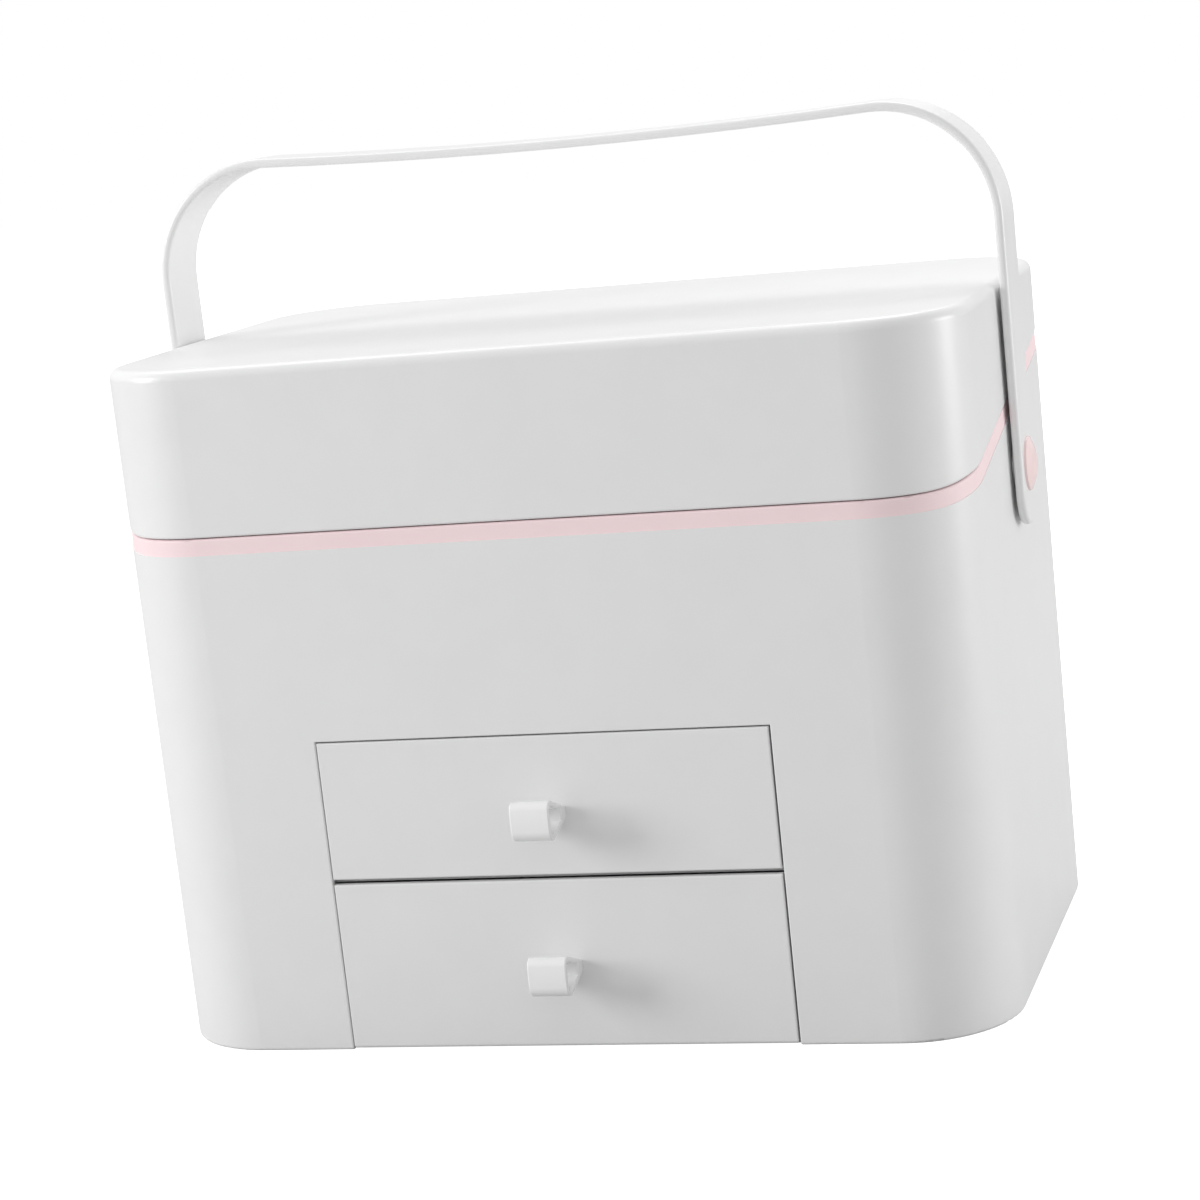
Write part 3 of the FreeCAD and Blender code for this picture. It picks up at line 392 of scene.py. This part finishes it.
@dataclass
class Studio:
    """A pale floor, a white surround and large soft lamps."""

    ambient: float = 0.671
    floor_half: float = 6.0
    floor_grey: str = "BFBFBF"
    # Name, bearing, height, diameter and power of each lamp.
    lamps: tuple[Softbox, ...] = (
        Softbox("left_key", 300.0, 18.0, 0.95, 20.8),
        Softbox("right_side", 105.0, 5.0, 0.8, 16.7),
        Softbox("rear_high", 180.0, 55.0, 0.8, 8.2),
        Softbox("rear_left_high", 240.0, 62.0, 1.0, 9.4),
        Softbox("rear_low", 180.0, 35.0, 1.0, 3.3),
    )

    def build(self) -> None:
        """Makes the floor, the surround and the lamps."""
        self._floor()
        self._surround()
        for lamp in self.lamps:
            lamp.build()
        bpy.context.scene.view_settings.view_transform = "Standard"

    def _floor(self) -> None:
        """Lays a white floor that the camera sees as white and that keeps the shadow."""
        work = bmesh.new()
        bmesh.ops.create_grid(work, x_segments=2, y_segments=2, size=self.floor_half)
        mesh = bpy.data.meshes.new("floor")
        work.to_mesh(mesh)
        work.free()
        floor = bpy.data.objects.new("floor", mesh)
        bpy.context.scene.collection.objects.link(floor)
        material = blank_material("matt_white_floor")
        tree = material.node_tree
        seen = add_node(tree, "ShaderNodeLightPath").outputs["Is Camera Ray"]
        paint = add_node(
            tree, "ShaderNodeBsdfDiffuse",
            {"Color": linear(self.floor_grey), "Roughness": 0.0},
        )
        lift = add_node(
            tree, "ShaderNodeEmission", {"Color": WHITE}, {"Strength": seen}
        )
        both = tree.nodes.new("ShaderNodeAddShader")
        tree.links.new(paint.outputs["BSDF"], both.inputs[0])
        tree.links.new(lift.outputs["Emission"], both.inputs[1])
        add_node(tree, "ShaderNodeOutputMaterial", links={"Surface": both.outputs["Shader"]})
        mesh.materials.append(material)

    def _surround(self) -> None:
        """Sets an even light from all round and a white background for the camera."""
        world = bpy.data.worlds.new("white_surround")
        bpy.context.scene.world = world
        world.use_nodes = True
        tree = world.node_tree
        tree.nodes.clear()
        seen = add_node(tree, "ShaderNodeLightPath").outputs["Is Camera Ray"]
        light = add_node(
            tree, "ShaderNodeBackground", {"Color": WHITE, "Strength": self.ambient}
        )
        white = add_node(
            tree, "ShaderNodeBackground", {"Color": WHITE, "Strength": 1.0}
        )
        pick = add_node(tree, "ShaderNodeMixShader", links={"Fac": seen})
        tree.links.new(light.outputs["Background"], pick.inputs[1])
        tree.links.new(white.outputs["Background"], pick.inputs[2])
        add_node(tree, "ShaderNodeOutputWorld", links={"Surface": pick.outputs["Shader"]})


# ---- turned pieces --------------------------------------------------------------


def solids_of(node: str) -> list[tuple[Vector, Vector]]:
    """Finds the separate solids of a node.

    Args:
        node: The node's name.

    Returns:
        The lowest and highest corner of each solid, in metres, in order of place.
    """
    work = bmesh.new()
    work.from_mesh(frame["nodes"][node].data)
    bmesh.ops.remove_doubles(work, verts=work.verts, dist=WELD_MM * MM)
    left, found = set(work.verts), []
    while left:
        group, waiting = set(), [left.pop()]
        while waiting:
            vert = waiting.pop()
            group.add(vert)
            reached = {e.other_vert(vert) for e in vert.link_edges} - group
            waiting += [v for v in reached if v in left]
            left -= reached
        places = [v.co for v in group]
        low = Vector([min(c[i] for c in places) for i in range(3)])
        high = Vector([max(c[i] for c in places) for i in range(3)])
        found.append((low, high))
    work.free()
    return sorted(found, key=lambda box: tuple(box[0]))


@dataclass
class Turning:
    """A mesh under construction whose parts are profiles spun about an axis."""

    steps: int = 48
    pole_weld_mm: float = 0.0005
    work: bmesh.types.BMesh = field(default_factory=bmesh.new)

    def spin(self, profile: list[tuple[float, float]], place: Matrix) -> None:
        """Spins one profile about its own Z axis and puts it in place.

        Args:
            profile: Radius and height of each point, in mm.
            place: Where the spun part goes.
        """
        before = set(self.work.verts)
        line = [self.work.verts.new((r * MM, 0, h * MM)) for r, h in profile]
        runs = [self.work.edges.new(pair) for pair in zip(line, line[1:])]
        bmesh.ops.spin(
            self.work, geom=line + runs, cent=(0, 0, 0), axis=(0, 0, 1),
            angle=math.tau, steps=self.steps, use_merge=True,
        )
        fresh = [v for v in self.work.verts if v not in before]
        bmesh.ops.remove_doubles(self.work, verts=fresh, dist=self.pole_weld_mm * MM)
        fresh = [v for v in self.work.verts if v not in before]
        bmesh.ops.transform(self.work, matrix=place, verts=fresh)

    def finish(self, name: str, node: str, finish: bpy.types.Material) -> bpy.types.Object:
        """Closes the mesh and puts it in for its node.

        Args:
            name: The new object's name.
            node: The node that the piece stands for.
            finish: The piece's material.

        Returns:
            The finished piece, riding on the node's body.
        """
        bmesh.ops.recalc_face_normals(self.work, faces=self.work.faces)
        for face in self.work.faces:
            face.smooth = True
        crease = math.radians(CREASE_DEGREES)
        for edge in self.work.edges:
            if len(edge.link_faces) == 2 and edge.calc_face_angle() > crease:
                edge.smooth = False
        mesh = bpy.data.meshes.new(name)
        self.work.to_mesh(mesh)
        self.work.free()
        mesh.materials.append(finish)
        piece = bpy.data.objects.new(name, mesh)
        bpy.context.scene.collection.objects.link(piece)
        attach(piece, BODIES[node])
        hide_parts(node)
        LOG.info("made %s for %s", name, node)
        return piece


@dataclass(frozen=True)
class CrossHeadScrews:
    """The pan-head tapping screws of one node, each with a cross recess and a cone point.

    Lengths are in mm. Each step of the dome is its place in from the head's side and down from
    its top.
    """

    node: str
    along: tuple[float, float, float]
    outwards: bool = False
    head_radius: float = 2.6
    head_height: float = 1.4
    shank_radius: float = 1.2
    land_radius: float = 1.75
    dome: tuple[tuple[float, float], ...] = ((0.55, 0.05), (0.25, 0.25), (0.08, 0.55), (0.0, 0.9))
    seat_chamfer: float = 0.12
    recess_reach: float = 1.3
    recess_half: float = 0.3
    recess_depth: float = 0.9
    recess_taper: float = 0.55
    point_length: float = 1.4
    tip_length: float = 0.3
    tip_share: float = 0.4

    def build(self, finish: bpy.types.Material) -> bpy.types.Object:
        """Makes the screws.

        Args:
            finish: The screws' metal.

        Returns:
            One piece with all the screws of the node.
        """
        turning = Turning()
        for low, high in solids_of(self.node):
            along = Vector(self.along)
            if self.outwards and low.x + high.x < 0:
                along = -along
            whole = abs((high - low).dot(along)) / MM
            length = whole - self.head_height
            head = (low + high) / 2 - along * (whole / 2 - self.head_height) * MM
            turn = (-along).to_track_quat("Z", "Y").to_matrix().to_4x4()
            place = Matrix.Translation(head) @ turn
            turning.spin(self._profile(length), place)
            self._recess(turning.work, place)
        return turning.finish(self.node + "_cross_head", self.node, finish)

    def _profile(self, length: float) -> list[tuple[float, float]]:
        """The screw's half outline, from the land round its recess to its point.

        Args:
            length: The shank's length in mm.

        Returns:
            Radius and height of each point, in mm, with the head's seat at height 0.
        """
        head, top = self.head_radius, self.head_height
        point = min(self.point_length, length / 2)
        return [
            (self.land_radius, top),
            *((head - inset, top - drop) for inset, drop in self.dome),
            (head, self.seat_chamfer),
            (head - self.seat_chamfer, 0.0),
            (self.shank_radius, 0.0),
            (self.shank_radius, point - length),
            (self.shank_radius * self.tip_share, self.tip_length - length),
            (0.0, -length),
        ]

    def _recess(self, work: bmesh.types.BMesh, place: Matrix) -> None:
        """Closes the head's open land with a cross-shaped pocket.

        Args:
            work: The mesh, with the screw's land still open.
            place: Where the screw is.
        """
        far, near = self.recess_reach, self.recess_half
        quarter = [(far, -near), (far, near), (near, near)]
        corners = []
        for turn in range(4):
            c, s = (1, 0, -1, 0)[turn], (0, 1, 0, -1)[turn]
            corners += [(c * x - s * y, s * x + c * y) for x, y in quarter]
        top = self.head_height
        rim = [work.verts.new(place @ (Vector((x, y, top)) * MM)) for x, y in corners]
        ring = [work.edges.new((a, b)) for a, b in zip(rim, rim[1:] + rim[:1])]
        land = [e for e in work.edges if len(e.link_faces) == 1]
        bmesh.ops.triangle_fill(work, use_beauty=True, edges=land + ring)
        walls = bmesh.ops.extrude_edge_only(work, edges=ring)["geom"]
        floor = [v for v in walls if isinstance(v, bmesh.types.BMVert)]
        sink = Matrix.Translation((0, 0, (top - self.recess_depth) * MM))
        taper = Matrix.Diagonal((self.recess_taper, self.recess_taper, 0, 1))
        bmesh.ops.transform(work, matrix=place @ sink @ taper @ place.inverted(), verts=floor)
        bottom = [e for e in walls if isinstance(e, bmesh.types.BMEdge)]
        bmesh.ops.edgeloop_fill(work, edges=bottom)


@dataclass(frozen=True)
class PivotCaps:
    """The two pink buttons over the strap's pivots: a low dome with a rolled rim."""

    node: str = "pivot_caps"
    rim_height: float = 0.9
    rim_round: float = 0.45
    rim_chamfer: float = 0.12
    rim_drop: float = 0.4
    plug_radius: float = 4.3
    plug_depth: float = 0.6
    dome_steps: int = 12

    def build(self, finish: bpy.types.Material) -> bpy.types.Object:
        """Makes both caps.

        Args:
            finish: The caps' plastic.

        Returns:
            One piece with both caps.
        """
        turning = Turning(steps=96)
        for low, high in solids_of(self.node):
            side = 1 if low.x > 0 else -1
            radius = (high.z - low.z) / 2 / MM
            height = (high.x - low.x) / MM
            seat = Vector((low.x if side > 0 else high.x, 0, (low.z + high.z) / 2))
            turn = Vector((side, 0, 0)).to_track_quat("Z", "Y").to_matrix().to_4x4()
            turning.spin(self._profile(radius, height), Matrix.Translation(seat) @ turn)
        return turning.finish("pivot_caps_domed", self.node, finish)

    def _profile(self, radius: float, height: float) -> list[tuple[float, float]]:
        """The cap's half outline, from the middle of its dome to its plug seat.

        Args:
            radius: The cap's radius in mm.
            height: The cap's height in mm.

        Returns:
            Radius and height of each point, in mm.
        """
        crown = radius - self.rim_round
        dome = height - self.rim_height
        points = []
        for step in range(self.dome_steps + 1):
            r = crown * step / self.dome_steps
            points.append((r, height - dome * (r / crown) ** 2))
        points += [
            (radius - self.rim_chamfer, self.rim_height - self.rim_chamfer),
            (radius, self.rim_height - self.rim_drop),
            (radius, 0.0),
            (self.plug_radius, 0.0),
            (self.plug_radius, self.plug_depth),
            (0.0, self.plug_depth),
        ]
        return points


@dataclass(frozen=True)
class RibbedPads:
    """The four feet: round pads with a soft edge and rings moulded in their soles."""

    node: str = "foot_pads"
    edge: float = 0.5
    groove_radii: tuple[float, ...] = (2.0, 4.0, 6.0)
    groove_half: float = 0.35
    groove_depth: float = 0.35
    groove_taper: float = 0.6
    edge_steps: int = 4

    def build(self, finish: bpy.types.Material) -> bpy.types.Object:
        """Makes the pads.

        Args:
            finish: The pads' rubber.

        Returns:
            One piece with all the pads.
        """
        turning = Turning(steps=72)
        for low, high in solids_of(self.node):
            radius = (high.x - low.x) / 2 / MM
            thickness = (high.z - low.z) / MM
            sole = Vector(((low.x + high.x) / 2, (low.y + high.y) / 2, low.z))
            turning.spin(self._profile(radius, thickness), Matrix.Translation(sole))
        return turning.finish("foot_pads_ribbed", self.node, finish)

    def _profile(self, radius: float, thickness: float) -> list[tuple[float, float]]:
        """The pad's half outline, from the middle of its sole to the middle of its back.

        Args:
            radius: The pad's radius in mm.
            thickness: The pad's thickness in mm.

        Returns:
            Radius and height of each point, in mm.
        """
        points = [(0.0, 0.0)]
        for groove in self.groove_radii:
            half, bottom = self.groove_half, self.groove_half * self.groove_taper
            points += [
                (groove - half, 0.0),
                (groove - bottom, self.groove_depth),
                (groove + bottom, self.groove_depth),
                (groove + half, 0.0),
            ]
        for step in range(self.edge_steps + 1):
            turn = math.pi / 2 * step / self.edge_steps
            out, up = math.sin(turn), 1 - math.cos(turn)
            points.append((radius - self.edge + self.edge * out, self.edge * up))
        return points + [(radius, thickness), (0.0, thickness)]


SCREWS = (
    CrossHeadScrews("base_screws", (0, 0, 1)),
    CrossHeadScrews("hinge_screws", (0, 1, 0)),
    CrossHeadScrews("pivot_screws", (1, 0, 0), outwards=True),
    CrossHeadScrews("upper_pull_screw", (0, -1, 0)),
    CrossHeadScrews("lower_pull_screw", (0, -1, 0)),
    CrossHeadScrews("upper_front_screws", (0, -1, 0)),
    CrossHeadScrews("lower_front_screws", (0, -1, 0)),
)


# ---- carried-over solids --------------------------------------------------------


@dataclass
class CarriedSolids:
    """The solids whose shape is finished, dressed by material slot."""

    palette: Palette

    def dress(self) -> None:
        """Gives every node the finish of its slot, and the pulls their own."""
        finishes = {
            "case_white": self.palette.shell,
            "inner_white": self.palette.inner,
            "trim_pink": self.palette.trim,
            "cap_pink": self.palette.cap,
            "steel": self.palette.steel,
            "pad_rubber": self.palette.pad,
        }
        for name in frame["nodes"]:
            mesh = frame["nodes"][name].data
            mesh.materials.clear()
            plain = finishes[SLOTS[name]]
            # The pulls get the lighter copy of the shell plastic; its extra brightness is painted
            # light, not a different colour.
            mesh.materials.append(self.palette.pull if name in PULLS else plain)
            LOG.info("dressed %s", name)


def main() -> None:
    """Builds the looks around the frame, in order."""
    logging.basicConfig(level=logging.INFO, format="%(name)s %(message)s")
    palette = Palette()
    CarriedSolids(palette).dress()
    for screws in SCREWS:
        screws.build(palette.steel)
    PivotCaps().build(palette.cap)
    RibbedPads().build(palette.pad)
    Camera().build()
    Studio().build()


if __name__ == "__main__":
    main()
